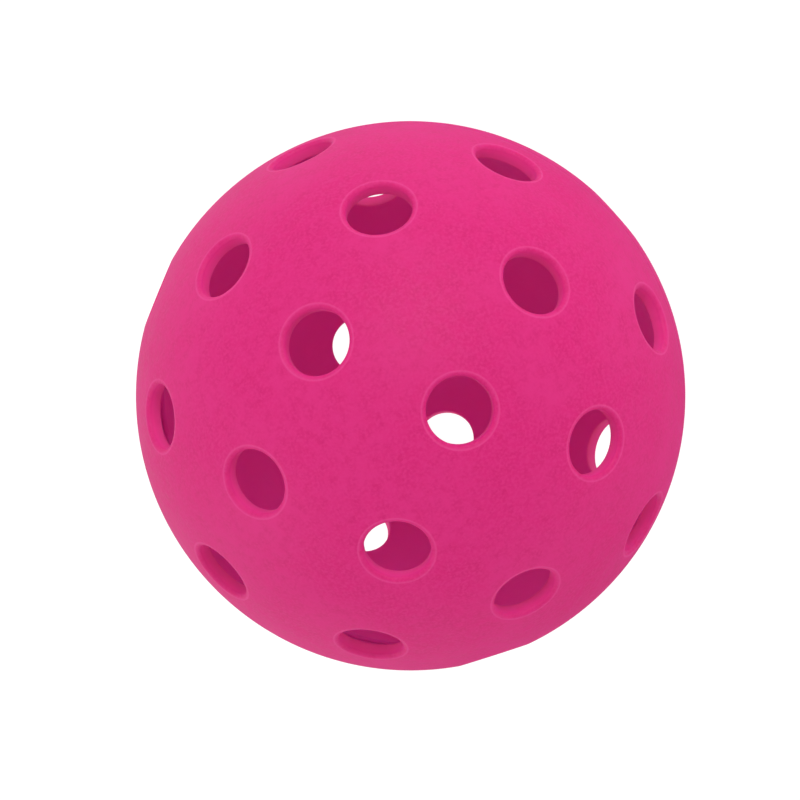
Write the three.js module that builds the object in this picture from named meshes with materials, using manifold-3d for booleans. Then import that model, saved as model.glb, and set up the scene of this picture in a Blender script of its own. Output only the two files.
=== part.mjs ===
// Pickleball ball: two perforated half shells, lap-jointed and welded at the equator.
// Millimetres, +Z up. The origin is the ball's centre and +Z is the axis of both halves.
import * as THREE from "three";
import { mergeVertices } from "three/addons/utils/BufferGeometryUtils.js";
import Module from "manifold-3d";

// Driving dimensions
const BALL_DIAMETER = 74;
const WALL = 2;
const BORE_DIAMETER = 8.4;
const MOUTH_ROUND = 0.65; // radius of the rounded outer edge of every hole
const LAP_HEIGHT = 0.75; // height of the step in the two rims
const GAP = 0.3; // clearance between the two rims
const BEAD_WIDTH = 1.2;
const BEAD_THICKNESS = 0.6;

// Each half has the same rings of holes. Angles are in degrees: fromPole is measured at the
// centre from the half's own pole, and firstAzimuth turns the ring about the pole.
const HOLE_RINGS = [
  { count: 4, fromPole: 22.3, firstAzimuth: 0 },
  { count: 8, fromPole: 50.4, firstAzimuth: 22.5 },
  { count: 8, fromPole: 77, firstAzimuth: 0 },
];
const LOWER_HALF_TURN = 66.3; // how far the lower half is turned about +Z from the upper half

// The lower half's holes were made slightly out of true: the axis of their rings leans from
// that half's pole, towards an azimuth of the ball.
const LOWER_LEAN = 1.5;
const LOWER_LEAN_AZIMUTH = 123;

// Finish
const SHELL_COLOR = "#e03882";
const BEAD_COLOR = "#c92d70";
const PLASTIC_ROUGHNESS = 0.55;

// Mesh fineness
const SHELL_SIDES = 48;
const ARC_STEPS = 9;
const HOLE_SIDES = 14;
const MOUTH_STEPS = 2;
const BEAD_STEPS = 4;
const MERGE_DISTANCE = 1e-4;

const OUTER_RADIUS = BALL_DIAMETER / 2;
const INNER_RADIUS = OUTER_RADIUS - WALL;
const LAP_RADIUS = (OUTER_RADIUS + INNER_RADIUS) / 2; // where the step divides the wall
const BORE_RADIUS = BORE_DIAMETER / 2;

const wasm = await Module();
wasm.setup();

// A closed three.js geometry as a manifold-3d solid.
function solidFrom(geometry) {
  const bare = geometry.clone();
  bare.deleteAttribute("normal");
  bare.deleteAttribute("uv");
  const merged = mergeVertices(bare, MERGE_DISTANCE);
  return new wasm.Manifold(
    new wasm.Mesh({
      numProp: 3,
      vertProperties: new Float32Array(merged.attributes.position.array),
      triVerts: new Uint32Array(merged.index.array),
    }),
  );
}

// A manifold-3d solid as a three.js geometry.
function geometryFrom(solid) {
  const mesh = solid.getMesh();
  const geometry = new THREE.BufferGeometry();
  geometry.setAttribute("position", new THREE.BufferAttribute(mesh.vertProperties, 3));
  geometry.setIndex(new THREE.BufferAttribute(mesh.triVerts, 1));
  geometry.computeVertexNormals();
  return geometry;
}

// A profile of [radius, height] points turned about +Z.
function turned(profile, sides) {
  const points = profile.map(([radius, height]) => new THREE.Vector2(radius, height));
  return new THREE.LatheGeometry(points, sides).rotateX(Math.PI / 2);
}

// The point of a circle about the centre at a given height.
function onSphere(radius, height) {
  return [Math.sqrt(radius ** 2 - height ** 2), height];
}

// Points of a wall surface from the pole down to the height of its rim.
function poleToRim(radius, rimHeight) {
  const rimAngle = Math.acos(rimHeight / radius);
  return Array.from({ length: ARC_STEPS + 1 }, (_, i) => {
    const angle = (rimAngle * i) / ARC_STEPS;
    return [radius * Math.sin(angle), radius * Math.cos(angle)];
  });
}

// The upper half's rim has a longer outer layer, a skirt that covers the spigot.
function upperBlank() {
  const skirtFoot = GAP / 2;
  const landHeight = skirtFoot + LAP_HEIGHT;
  const stepRadius = LAP_RADIUS + GAP / 2;
  const profile = [
    ...poleToRim(OUTER_RADIUS, skirtFoot),
    onSphere(stepRadius, skirtFoot),
    onSphere(stepRadius, landHeight),
    ...poleToRim(INNER_RADIUS, landHeight).reverse(),
  ];
  return turned(profile.reverse(), SHELL_SIDES);
}

// The lower half, made pole up. Its rim has a longer inner layer, the spigot.
function lowerBlank() {
  const landHeight = GAP / 2;
  const spigotTop = GAP / 2 - LAP_HEIGHT;
  const stepRadius = LAP_RADIUS - GAP / 2;
  const profile = [
    ...poleToRim(OUTER_RADIUS, landHeight),
    onSphere(stepRadius, landHeight),
    onSphere(stepRadius, spigotTop),
    ...poleToRim(INNER_RADIUS, spigotTop).reverse(),
  ];
  return turned(profile.reverse(), SHELL_SIDES);
}

// The tool for one hole, pointing along +Z: a round bore whose mouth flares out as an arc
// that is tangent to the bore and to the ball's outer surface.
function holeTool() {
  const arcCentreRadius = BORE_RADIUS + MOUTH_ROUND;
  const arcCentreDistance = OUTER_RADIUS - MOUTH_ROUND;
  const arcCentreHeight = Math.sqrt(arcCentreDistance ** 2 - arcCentreRadius ** 2);
  const lean = Math.asin(arcCentreRadius / arcCentreDistance);
  const sweep = Math.PI / 2 + lean;
  const mouth = Array.from({ length: MOUTH_STEPS + 1 }, (_, i) => {
    const angle = Math.PI - (sweep * i) / MOUTH_STEPS;
    return [
      arcCentreRadius + MOUTH_ROUND * Math.cos(angle),
      arcCentreHeight + MOUTH_ROUND * Math.sin(angle),
    ];
  });
  const foot = INNER_RADIUS - WALL;
  const top = OUTER_RADIUS + WALL;
  const [mouthRadius] = mouth[MOUTH_STEPS];
  const profile = [
    [0, foot],
    [BORE_RADIUS, foot],
    ...mouth,
    [mouthRadius + MOUTH_ROUND, top],
    [0, top],
  ];
  return turned(profile, HOLE_SIDES);
}

// Every hole of one half, pole up. The rings are turned about the pole by halfTurn, and then
// their axis is leant towards leanAzimuth.
function holeTools(halfTurn, lean, leanAzimuth) {
  const tool = holeTool();
  const leanTurn = THREE.MathUtils.degToRad(leanAzimuth);
  return HOLE_RINGS.flatMap(({ count, fromPole, firstAzimuth }) =>
    Array.from({ length: count }, (_, i) => {
      const azimuth = halfTurn + firstAzimuth + (360 * i) / count;
      const placed = tool
        .clone()
        .rotateY(THREE.MathUtils.degToRad(fromPole))
        .rotateZ(THREE.MathUtils.degToRad(azimuth) - leanTurn)
        .rotateY(THREE.MathUtils.degToRad(lean))
        .rotateZ(leanTurn);
      return solidFrom(placed);
    }),
  );
}

// A blank half with all its holes cut.
function perforated(blank, tools) {
  const holes = tools.reduce((all, hole) => all.add(hole));
  return geometryFrom(solidFrom(blank).subtract(holes));
}

// The rounded ring of plastic that the weld leaves along the inside of the lap joint, level
// with the open seam between the spigot's top and the upper half's inner land.
function weldBead() {
  const seamHeight = LAP_HEIGHT;
  const backRadius = INNER_RADIUS - GAP;
  const face = Array.from({ length: BEAD_STEPS + 1 }, (_, i) => {
    const angle = (Math.PI * i) / BEAD_STEPS;
    const height = seamHeight + (BEAD_WIDTH / 2) * Math.cos(angle);
    return [backRadius - BEAD_THICKNESS * Math.sin(angle), height];
  });
  return turned([...face, face[0]], SHELL_SIDES);
}

function plasticMaterial(color) {
  return new THREE.MeshStandardMaterial({ color, roughness: PLASTIC_ROUGHNESS, metalness: 0 });
}

function addPiece(group, name, geometry, color) {
  const mesh = new THREE.Mesh(geometry, plasticMaterial(color));
  mesh.name = name;
  group.add(mesh);
  return mesh;
}

const group = new THREE.Group();
const upperShell = perforated(upperBlank(), holeTools(0, 0, 0));
addPiece(group, "upper_half_shell", upperShell, SHELL_COLOR);

// Turning the lower half over reverses the sense of its azimuths.
const lowerTools = holeTools(-LOWER_HALF_TURN, LOWER_LEAN, -LOWER_LEAN_AZIMUTH);
const lowerShell = perforated(lowerBlank(), lowerTools);
addPiece(group, "lower_half_shell", lowerShell, SHELL_COLOR).rotation.x = Math.PI;

addPiece(group, "weld_bead", weldBead(), BEAD_COLOR);

export default group;
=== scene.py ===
import math

import bmesh
import bpy
from mathutils import Matrix, Vector
from mathutils.geometry import delaunay_2d_cdt


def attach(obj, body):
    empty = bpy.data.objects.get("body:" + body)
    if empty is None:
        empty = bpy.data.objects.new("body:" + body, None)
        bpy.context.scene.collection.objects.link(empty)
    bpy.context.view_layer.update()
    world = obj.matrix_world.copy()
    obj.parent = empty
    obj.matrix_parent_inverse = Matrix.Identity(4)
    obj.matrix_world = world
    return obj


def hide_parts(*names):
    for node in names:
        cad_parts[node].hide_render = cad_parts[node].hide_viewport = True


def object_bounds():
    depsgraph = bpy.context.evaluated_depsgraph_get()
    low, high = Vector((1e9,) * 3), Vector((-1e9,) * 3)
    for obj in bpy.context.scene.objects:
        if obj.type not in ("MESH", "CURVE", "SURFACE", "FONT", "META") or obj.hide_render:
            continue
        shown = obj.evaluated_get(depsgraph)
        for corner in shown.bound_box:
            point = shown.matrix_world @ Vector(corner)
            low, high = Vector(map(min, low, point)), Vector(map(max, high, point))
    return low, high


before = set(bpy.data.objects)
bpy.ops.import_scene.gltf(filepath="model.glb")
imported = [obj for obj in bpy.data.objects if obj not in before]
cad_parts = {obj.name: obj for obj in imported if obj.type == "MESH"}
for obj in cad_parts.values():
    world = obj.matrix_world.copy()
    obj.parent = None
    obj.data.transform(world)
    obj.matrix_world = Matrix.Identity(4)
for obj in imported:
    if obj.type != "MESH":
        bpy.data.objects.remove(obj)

cad_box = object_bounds()

MM = 0.001

# Driving dimensions of the ball
BALL_RADIUS = (cad_box[1].x - cad_box[0].x) / 2
WALL = 2.0 * MM
INNER_RADIUS = BALL_RADIUS - WALL
BORE_RADIUS = 4.2 * MM
MOUTH_RADIUS = 4.85 * MM        # where the rounded mouth of a hole leaves the ball's surface
MOUTH_KINK = 8                  # degrees that the mouth drops at its very edge
EDGE_WIDTH = 0.18 * MM          # half the width of the small round along the mouth's edge
INNER_ROUND = 0.3 * MM          # round of the hole's edge inside the ball
EDGE_HIGHLIGHT = 0.4                 # strength of the painted highlight along a hole's two edges

# Each half has the same rings of holes: count, degrees from the half's own pole, and
# degrees that the ring is turned about the pole.
HOLE_RINGS = ((4, 22.3, 0.0), (8, 50.4, 22.5), (8, 77.0, 0.0))
LOWER_HALF_TURN = 66.3          # degrees that the lower half is turned about +Z

# The lower half's holes were made slightly out of true: the axis of their rings leans from
# that half's pole, towards an azimuth of the ball. Both in degrees.
LOWER_LEAN = 1.5
LOWER_LEAN_AZIMUTH = 123

# The welded lap joint
LAP_HEIGHT = 0.75 * MM
LAP_RADIUS = BALL_RADIUS - WALL / 2
SEAM = 0.04 * MM                # what is left open of the seam
SEAM_ROUND = 0.07 * MM          # round of the two lips of the seam
BEAD_WIDTH = 1.2 * MM
BEAD_THICKNESS = 0.6 * MM

# The bead's thickness and width wander round the ball. Each is a mean share of its full size,
# a swing about that, and the waves of the swing as (waves a turn, phase, share).
THICKNESS_WANDER = (0.82, 0.16, ((7, 0, 0.5), (19, 1, 0.3), (43, 0, 0.2)))
WIDTH_WANDER = (0.9, 0.08, ((11, 2, 1),))

# Mesh fineness
HOLE_SEGMENTS = 56
RIM_SEGMENTS = 240
BEAD_SIDES = 10
MOUTH_STEPS = 8
ROUND_STEPS = 3
OUTER_SPACING = 1.0 * MM
INNER_SPACING = 1.4 * MM
CLEARANCE = 0.6                 # least distance of a loose point from an edge, in spacings
MERGE_DISTANCE = 1e-9
SHARP_ANGLE = 40                # degrees; a sharper corner than this isn't shaded smooth

# Linear colours of the plastic. The last three are painted light: a painted highlight along
# the holes' thin edges, and the holes' bores and the ball's inside painted paler, for light that
# soaks through the wall.
SHELL_COLOURS = {
    "deep": (0.69, 0.009, 0.170),
    "base": (0.75, 0.0115, 0.194),
    "pale": (0.78, 0.025, 0.230),
    "edge": (0.88, 0.10, 0.36),
    "bore_painted_light": (0.92, 0.05, 0.34),
    "inside": (0.94, 0.09, 0.54),
}

# The weld's bead is wholly inside the ball, so only its inside colour shows, a paler colour
# painted for light that soaks through the wall.
WELD_COLOURS = {**SHELL_COLOURS, "inside": (0.92, 0.09, 0.54)}

# The three noises in the plastic, as (scale per metre, detail)
CLOUDS = (95, 3)
MOTTLE = (700, 4)
GRAIN = (2600, 3)

# What a noise does, as its low and high values and what it gives at each: how far a colour
# covers the one below it, or the roughness
CLOUD_COVER = (0.35, 0.7, 0, 1)
MOTTLE_COVER = (0.3, 0.6, 0.75, 0)
GRAIN_COVER = (0.4, 0.65, 0, 0.85)
MOTTLE_ROUGHNESS = (0.3, 0.7, 0.5, 0.6)

# Relief of the plastic's skin
PEEL_DEPTH = 0.05 * MM
GRAIN_DEPTH = 0.03 * MM
RELIEF_STRENGTH = 0.5

# Where the wall turns from its outer colour to the bore's painted light, and from that to the
# inside's painted light, as fractions of its thickness from the outer surface
PAINTED_BORE_DEPTHS = (0.1, 0.4)
PAINTED_INSIDE_DEPTHS = (0.9, 1)

FLOOR_REACH = 4.0               # metres from the floor's middle to each side

# The camera, in degrees about the ball, and its distance in ball radii
VIEW_AZIMUTH = 113.26
VIEW_ELEVATION = 74.35
VIEW_ROLL = -133.49
VIEW_DISTANCE = 9.74
VIEW_LENS = 119.8               # millimetres
SENSOR_WIDTH = 36               # millimetres
VIEW_SHIFT = (-0.0133, -0.0053)

# The studio is bright all round except behind the ball, towards the camera's right. It goes
# from bright to dim where a direction's dot product with BRIGHT_SIDE falls from BRIGHT_FROM
# to DIM_BELOW.
STUDIO_BRIGHT, STUDIO_DIM = 0.68, 0.15
BRIGHT_SIDE = (-0.5, 0, 0.85)   # along the camera's right, up and back directions
BRIGHT_FROM, DIM_BELOW = -0.5, -0.7

# The soft lights: place in metres along those same directions, side in metres, watts
SOFTBOXES = {
    "key_softbox": ((0.06, 0.7, 1.05), 0.5, 4.3),
    "left_softbox": ((-0.95, -0.7, 0.15), 0.7, 1.8),
}


def sphere_direction(from_pole, azimuth):
    """The unit vector at a polar angle and an azimuth, both in degrees."""
    polar, turn = math.radians(from_pole), math.radians(azimuth)
    across = math.sin(polar)
    return Vector((across * math.cos(turn), across * math.sin(turn), math.cos(polar)))


def hole_directions(half_turn, lean, lean_azimuth):
    """The directions of one half's holes, pole up. The rings are turned about the pole, and
    then their axis is leant towards an azimuth."""
    swing = Matrix.Rotation(math.radians(lean_azimuth), 3, "Z")
    leant = swing @ Matrix.Rotation(math.radians(lean), 3, "Y") @ swing.inverted()
    return [
        leant @ sphere_direction(from_pole, half_turn + first + 360 * k / count)
        for count, from_pole, first in HOLE_RINGS
        for k in range(count)
    ]


def arc(centre, radius, start, end, steps):
    """Points [across, along] of an arc, with its angles in degrees."""
    angles = [math.radians(start + (end - start) * k / steps) for k in range(steps + 1)]
    return [(centre[0] + radius * math.cos(a), centre[1] + radius * math.sin(a)) for a in angles]


def hole_profile():
    """A hole's wall from the outer to the inner surface, as (distance from the hole's axis,
    height above the ball's centre, painted highlight). The painted highlight peaks along the
    hole's two edges."""
    kink = math.radians(MOUTH_KINK)

    # The small round along the mouth's edge, in three points
    edge_height = math.sqrt(BALL_RADIUS ** 2 - MOUTH_RADIUS ** 2)
    start = MOUTH_RADIUS + EDGE_WIDTH
    drop = EDGE_WIDTH * math.tan(kink)
    end = (MOUTH_RADIUS - EDGE_WIDTH, edge_height - drop)
    edge = [
        (start, math.sqrt(BALL_RADIUS ** 2 - start ** 2), 0.0),
        (MOUTH_RADIUS, edge_height - drop / 4, EDGE_HIGHLIGHT),
        (*end, EDGE_HIGHLIGHT / 4),
    ]

    # The mouth, an arc from that edge down to the bore
    sweep_radius = (end[0] - BORE_RADIUS) / (1 - math.sin(kink))
    centre = (BORE_RADIUS + sweep_radius, end[1] - sweep_radius * math.cos(kink))
    sweep = arc(centre, sweep_radius, 90 + MOUTH_KINK, 180, MOUTH_STEPS)[1:]
    mouth = [(*point, 0.0) for point in sweep]

    # The round at the bore's inner end, with the painted highlight along its first two points
    foot_radius = BORE_RADIUS + INNER_ROUND
    foot_distance = INNER_RADIUS + INNER_ROUND
    foot_height = math.sqrt(foot_distance ** 2 - foot_radius ** 2)
    lean = math.degrees(math.asin(foot_radius / foot_distance))
    foot = arc((foot_radius, foot_height), INNER_ROUND, 180, 270 - lean, ROUND_STEPS)
    inner = [(*point, EDGE_HIGHLIGHT if k < 2 else 0.0) for k, point in enumerate(foot)]
    return edge + mouth + inner


def rim_profile(skirt):
    """One half's rim from the outer to the inner surface, pole up, as (radius, height).
    The half with the skirt has the longer outer layer, and the other the spigot inside it."""
    face = SEAM / 2
    lip_centre = (BALL_RADIUS - SEAM_ROUND, face + SEAM_ROUND)
    lip = arc(lip_centre, SEAM_ROUND, 0, -90, ROUND_STEPS)
    lip_top = lip[0][1]
    lip[0] = (math.sqrt(BALL_RADIUS ** 2 - lip_top ** 2), lip_top)
    side = SEAM if skirt else -SEAM
    step_radius = LAP_RADIUS + side
    land = LAP_HEIGHT + face if skirt else face - LAP_HEIGHT
    inner = math.sqrt(INNER_RADIUS ** 2 - land ** 2)
    return lip + [(step_radius, face), (step_radius, land), (inner, land)]


def ring(bm, highlight_layer, centre_line, across, along, segments, painted_highlight=0.0):
    """A ring of new vertices about a line through the ball's centre, each given a strength of
    painted highlight.
    """
    spin = centre_line.to_track_quat("Z", "Y")
    made = []
    for k in range(segments):
        turn = 2 * math.pi * k / segments
        local = Vector((across * math.cos(turn), across * math.sin(turn), along))
        vert = bm.verts.new(spin @ local)
        vert[highlight_layer] = painted_highlight
        made.append(vert)
    return made


def bridge(bm, rings):
    """Quads between each ring and the next."""
    for first, second in zip(rings, rings[1:]):
        for k in range(len(first)):
            bm.faces.new((first[k - 1], first[k], second[k], second[k - 1]))


def flattened(point):
    """A point's direction as a point of the plane, by the stereographic map from the far
    pole, which keeps circles as circles."""
    unit = point.normalized()
    return Vector((unit.x, unit.y)) / (1 + unit.z)


def spread_points(radius, spacing, lowest, holes, hole_reach):
    """Evenly spread points of the sphere, clear of the rim and of the holes. They follow a
    spiral from the pole that turns by the golden angle at each step."""
    count = round(4 * math.pi * radius ** 2 / (spacing ** 2 * math.sqrt(3) / 2))
    golden = math.pi * (3 - math.sqrt(5))
    clear = math.cos(hole_reach + CLEARANCE * spacing / radius)
    points = []
    for k in range(count):
        height = 1 - (2 * k + 1) / count
        if height * radius < lowest + CLEARANCE * spacing:
            break
        across = math.sqrt(1 - height ** 2)
        unit = Vector((across * math.cos(k * golden), across * math.sin(k * golden), height))
        if all(unit.dot(hole) < clear for hole in holes):
            points.append(unit * radius)
    return points


def fill_surface(bm, rim, hole_rings, loose):
    """Triangles over a spherical surface between its rim and its holes, through all the
    loose points. A triangle whose corners are all on one hole's edge would cover that hole,
    so it's left out."""
    verts = list(rim)
    edges = [(k, (k + 1) % len(rim)) for k in range(len(rim))]
    owner = [-1] * len(rim)
    for number, hole in enumerate(hole_rings):
        first = len(verts)
        edges += [(first + k, first + (k + 1) % len(hole)) for k in range(len(hole))]
        verts += hole
        owner += [number] * len(hole)
    verts += [bm.verts.new(point) for point in loose]
    owner += [-1] * len(loose)
    flat = [flattened(vert.co) for vert in verts]
    _, _, faces, sources, _, _ = delaunay_2d_cdt(flat, edges, [], 0, MERGE_DISTANCE)
    for face in faces:
        corners = [sources[k][0] for k in face]
        holes = {owner[k] for k in corners}
        if len(holes) == 1 and holes != {-1}:
            continue
        bm.faces.new([verts[k] for k in corners])


def shell_mesh(name, holes, skirt):
    """A half shell, pole up, as one closed mesh with its painted edge highlights in an
    attribute.
    """
    bm = bmesh.new()
    highlight_layer = bm.verts.layers.float.new("painted_edge_highlight")
    up = Vector((0, 0, 1))
    rim_rings = [
        ring(bm, highlight_layer, up, across, along, RIM_SEGMENTS)
        for across, along in rim_profile(skirt)
    ]
    bridge(bm, rim_rings)
    profile = hole_profile()
    hole_rings = []
    for direction in holes:
        rings = [
            ring(bm, highlight_layer, direction, across, along, HOLE_SEGMENTS, painted_highlight)
            for across, along, painted_highlight in profile
        ]
        bridge(bm, rings)
        hole_rings.append(rings)

    # Each profile starts at the outer surface and ends at the inner one.
    surfaces = (
        (BALL_RADIUS, OUTER_SPACING, 0),
        (INNER_RADIUS, INNER_SPACING, -1),
    )
    for radius, spacing, end in surfaces:
        lowest = rim_rings[end][0].co.z
        reach = math.asin(profile[end][0] / radius)
        loose = spread_points(radius, spacing, lowest, holes, reach)
        fill_surface(bm, rim_rings[end], [rings[end] for rings in hole_rings], loose)
    return finished_mesh(bm, name)


def finished_mesh(bm, name):
    """The mesh of a bmesh, smooth but for its sharp corners, with its faces pointing out."""
    bmesh.ops.recalc_face_normals(bm, faces=bm.faces)
    for face in bm.faces:
        face.smooth = True
    for edge in bm.edges:
        edge.smooth = edge.calc_face_angle() < math.radians(SHARP_ANGLE)
    mesh = bpy.data.meshes.new(name)
    bm.to_mesh(mesh)
    bm.free()
    return mesh


def wandering(turn, mean, swing, waves):
    """A share that wanders about its mean as the turn about the ball's axis goes on."""
    wander = sum(share * math.sin(count * turn + phase) for count, phase, share in waves)
    return mean + swing * wander


def bead_mesh(name):
    """The weld's inner ring: a rounded bead whose thickness wanders as it goes round."""
    bm = bmesh.new()
    back = math.sqrt(INNER_RADIUS ** 2 - (LAP_HEIGHT + BEAD_WIDTH / 2) ** 2) - SEAM
    rings = []
    for k in range(RIM_SEGMENTS):
        turn = 2 * math.pi * k / RIM_SEGMENTS
        thickness = BEAD_THICKNESS * wandering(turn, *THICKNESS_WANDER)
        width = BEAD_WIDTH * wandering(turn, *WIDTH_WANDER)
        section = []
        for side in range(BEAD_SIDES + 1):
            angle = math.pi * side / BEAD_SIDES
            radius = back - thickness * math.sin(angle)
            height = LAP_HEIGHT + width / 2 * math.cos(angle)
            point = (radius * math.cos(turn), radius * math.sin(turn), height)
            section.append(bm.verts.new(point))
        rings.append(section)
    bridge(bm, rings + rings[:1])
    return finished_mesh(bm, name)


def new_material(name):
    """A material with its nodes and links."""
    material = bpy.data.materials.new(name)
    material.use_nodes = True
    return material, material.node_tree.nodes, material.node_tree.links


def noise_texture(nodes, links, coordinates, scale, detail):
    """A noise from 0 to 1 over the given coordinates."""
    texture = nodes.new("ShaderNodeTexNoise")
    texture.inputs["Scale"].default_value = scale
    texture.inputs["Detail"].default_value = detail
    links.new(coordinates, texture.inputs["Vector"])
    return texture.outputs["Fac"]


def remapped(nodes, links, value, low, high, to_low, to_high):
    """A value from low..high as a value from to_low..to_high, held within those ends."""
    remap = nodes.new("ShaderNodeMapRange")
    remap.inputs["From Min"].default_value = low
    remap.inputs["From Max"].default_value = high
    remap.inputs["To Min"].default_value = to_low
    remap.inputs["To Max"].default_value = to_high
    links.new(value, remap.inputs["Value"])
    return remap.outputs["Result"]


def mixed_colour(nodes, links, factor, first, second):
    """A mix of two colours, each a socket or a plain (red, green, blue)."""
    mix = nodes.new("ShaderNodeMix")
    mix.data_type = "RGBA"
    links.new(factor, mix.inputs["Factor"])
    for name, colour in (("A", first), ("B", second)):
        socket = next(s for s in mix.inputs if s.name == name and s.type == "RGBA")
        if isinstance(colour, tuple):
            socket.default_value = (*colour, 1)
        else:
            links.new(colour, socket)
    return next(s for s in mix.outputs if s.type == "RGBA")


def bumped(nodes, links, height, depth, under=None):
    """The surface's normal with a fine relief, on top of another relief if there is one."""
    bump = nodes.new("ShaderNodeBump")
    bump.inputs["Distance"].default_value = depth
    bump.inputs["Strength"].default_value = RELIEF_STRENGTH
    links.new(height, bump.inputs["Height"])
    if under is not None:
        links.new(under, bump.inputs["Normal"])
    return bump.outputs["Normal"]


def wall_depth(nodes, links, place, shallow, deep):
    """0 to 1 between two depths in the wall, which are fractions of its thickness; it places
    painted light.
    """
    length = nodes.new("ShaderNodeVectorMath")
    length.operation = "LENGTH"
    links.new(place, length.inputs[0])
    start, end = BALL_RADIUS - shallow * WALL, BALL_RADIUS - deep * WALL
    return remapped(nodes, links, length.outputs["Value"], start, end, 0, 1)


def plastic_material(name, colours):
    """Matte moulded polyethylene: cloudy pigment, fine grain, and painted light: paler hole
    walls and inside, and a painted highlight along the holes' edges.
    """
    material, nodes, links = new_material(name)
    shader = nodes["Principled BSDF"]
    place = nodes.new("ShaderNodeTexCoord").outputs["Object"]
    clouds = noise_texture(nodes, links, place, *CLOUDS)
    mottle = noise_texture(nodes, links, place, *MOTTLE)
    grain = noise_texture(nodes, links, place, *GRAIN)
    painted_highlight = nodes.new("ShaderNodeAttribute")
    painted_highlight.attribute_name = "painted_edge_highlight"

    layers = (
        (remapped(nodes, links, clouds, *CLOUD_COVER), "pale"),
        (remapped(nodes, links, mottle, *MOTTLE_COVER), "deep"),
        (remapped(nodes, links, grain, *GRAIN_COVER), "pale"),
        # The next two colours are painted light, paler walls and inside, and the last is the
        # painted edge highlight
        (wall_depth(nodes, links, place, *PAINTED_BORE_DEPTHS), "bore_painted_light"),
        (wall_depth(nodes, links, place, *PAINTED_INSIDE_DEPTHS), "inside"),
        (painted_highlight.outputs["Fac"], "edge"),
    )
    colour = colours["base"]
    for cover, key in layers:
        colour = mixed_colour(nodes, links, cover, colour, colours[key])
    links.new(colour, shader.inputs["Base Color"])

    roughness = remapped(nodes, links, mottle, *MOTTLE_ROUGHNESS)
    links.new(roughness, shader.inputs["Roughness"])
    peel = bumped(nodes, links, mottle, PEEL_DEPTH)
    links.new(bumped(nodes, links, grain, GRAIN_DEPTH, peel), shader.inputs["Normal"])

    shader.inputs["IOR"].default_value = 1.45
    shader.inputs["Specular IOR Level"].default_value = 0.3
    shader.inputs["Subsurface Weight"].default_value = 0.3
    shader.inputs["Subsurface Radius"].default_value = (1.0, 0.25, 0.5)
    shader.inputs["Subsurface Scale"].default_value = 1.5 * MM
    return material


def floor_material():
    """The white diffuser of a light table."""
    material, nodes, _ = new_material("pale_floor")
    shader = nodes["Principled BSDF"]
    shader.inputs["Base Color"].default_value = (0.1, 0.1, 0.1, 1)
    shader.inputs["Roughness"].default_value = 0.7
    shader.inputs["Emission Color"].default_value = (1, 1, 1, 1)
    shader.inputs["Emission Strength"].default_value = 0.98
    return material


def add_object(name, mesh, material):
    made = bpy.data.objects.new(name, mesh)
    mesh.materials.append(material)
    bpy.context.scene.collection.objects.link(made)
    return made


def add_piece(name, mesh, material, node):
    """A piece of the ball that stands for a CAD node."""
    piece = add_object(name, mesh, material)
    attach(piece, "root")
    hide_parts(node)


def add_ball():
    shell = plastic_material("pink_polyethylene", SHELL_COLOURS)
    weld = plastic_material("weld_polyethylene", WELD_COLOURS)
    upper = shell_mesh("upper_shell", hole_directions(0, 0, 0), skirt=True)
    add_piece("upper_shell", upper, shell, "upper_half_shell")

    # Turning the lower half over reverses the sense of its azimuths.
    lower_holes = hole_directions(-LOWER_HALF_TURN, LOWER_LEAN, -LOWER_LEAN_AZIMUTH)
    lower = shell_mesh("lower_shell", lower_holes, skirt=False)
    lower.transform(Matrix.Rotation(math.pi, 4, "X"))
    add_piece("lower_shell", lower, shell, "lower_half_shell")

    add_piece("weld_flash", bead_mesh("weld_flash"), weld, "weld_bead")


def add_floor():
    bm = bmesh.new()
    bmesh.ops.create_grid(bm, x_segments=1, y_segments=1, size=FLOOR_REACH)
    mesh = bpy.data.meshes.new("floor")
    bm.to_mesh(mesh)
    bm.free()
    floor = add_object("floor", mesh, floor_material())
    floor.location.z = -BALL_RADIUS
    floor.visible_glossy = False    # its matt sheet gives the ball's gloss nothing to mirror


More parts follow.
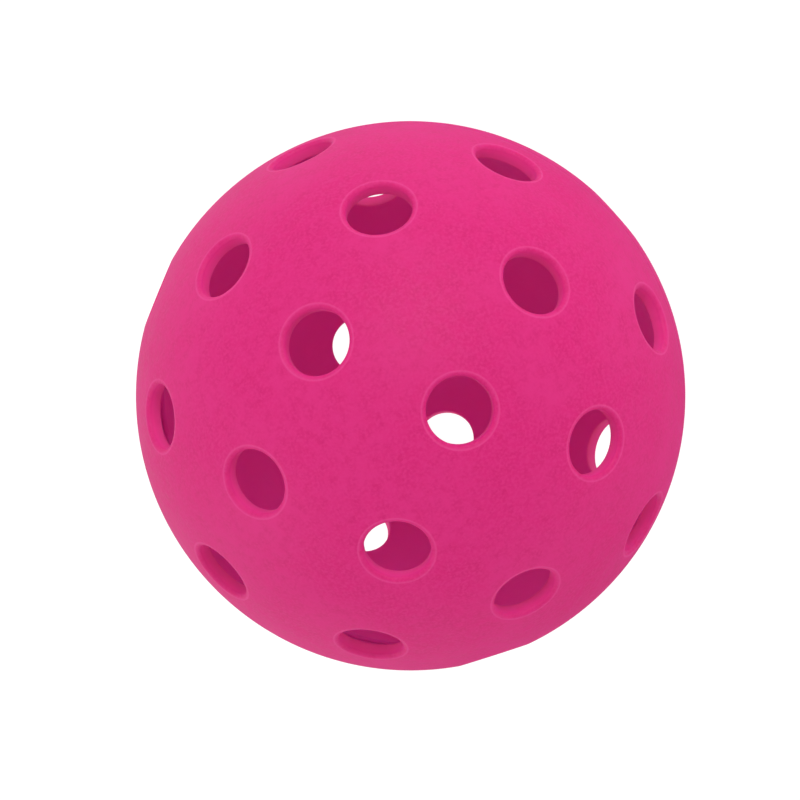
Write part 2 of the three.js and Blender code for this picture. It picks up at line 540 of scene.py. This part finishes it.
def view_matrix():
    """The camera's turn: its own roll, then its elevation, then its azimuth. It takes the
    camera's right, up and back directions to the frame's."""
    return (
        Matrix.Rotation(math.radians(VIEW_AZIMUTH), 4, "Z")
        @ Matrix.Rotation(math.radians(90 - VIEW_ELEVATION), 4, "X")
        @ Matrix.Rotation(math.radians(VIEW_ROLL), 4, "Z")
    )


def add_camera():
    data = bpy.data.cameras.new("camera")
    camera = bpy.data.objects.new("camera", data)
    bpy.context.scene.collection.objects.link(camera)
    distance = VIEW_DISTANCE * BALL_RADIUS
    camera.matrix_world = view_matrix() @ Matrix.Translation((0, 0, distance))
    data.lens = VIEW_LENS
    data.sensor_width = SENSOR_WIDTH
    data.shift_x, data.shift_y = VIEW_SHIFT
    data.clip_start = 10 * MM
    data.dof.use_dof = False
    bpy.context.scene.camera = camera


def add_softbox(name, place, size, power):
    """A square soft light that faces the ball from a place in the camera's directions."""
    data = bpy.data.lights.new(name, "AREA")
    data.shape = "SQUARE"
    data.size = size
    data.energy = power
    light = bpy.data.objects.new(name, data)
    bpy.context.scene.collection.objects.link(light)
    spot = view_matrix() @ Vector(place)
    light.location = spot
    light.rotation_mode = "QUATERNION"
    light.rotation_quaternion = spot.to_track_quat("Z", "Y")


def add_world():
    """A white studio, dimmer behind the ball."""
    world = bpy.data.worlds.new("studio")
    world.use_nodes = True
    nodes, links = world.node_tree.nodes, world.node_tree.links
    background = nodes["Background"]
    background.inputs["Color"].default_value = (1, 1, 1, 1)
    toward = nodes.new("ShaderNodeVectorMath")
    toward.operation = "DOT_PRODUCT"
    toward.inputs[1].default_value = view_matrix() @ Vector(BRIGHT_SIDE)
    links.new(nodes.new("ShaderNodeTexCoord").outputs["Generated"], toward.inputs[0])
    strength = remapped(
        nodes, links, toward.outputs["Value"],
        DIM_BELOW, BRIGHT_FROM, STUDIO_DIM, STUDIO_BRIGHT,
    )
    links.new(strength, background.inputs["Strength"])
    bpy.context.scene.world = world


def add_light():
    add_world()
    for name, (place, size, power) in SOFTBOXES.items():
        add_softbox(name, place, size, power)


add_camera()
add_ball()
add_floor()
add_light()
bpy.context.scene.view_settings.view_transform = "Standard"
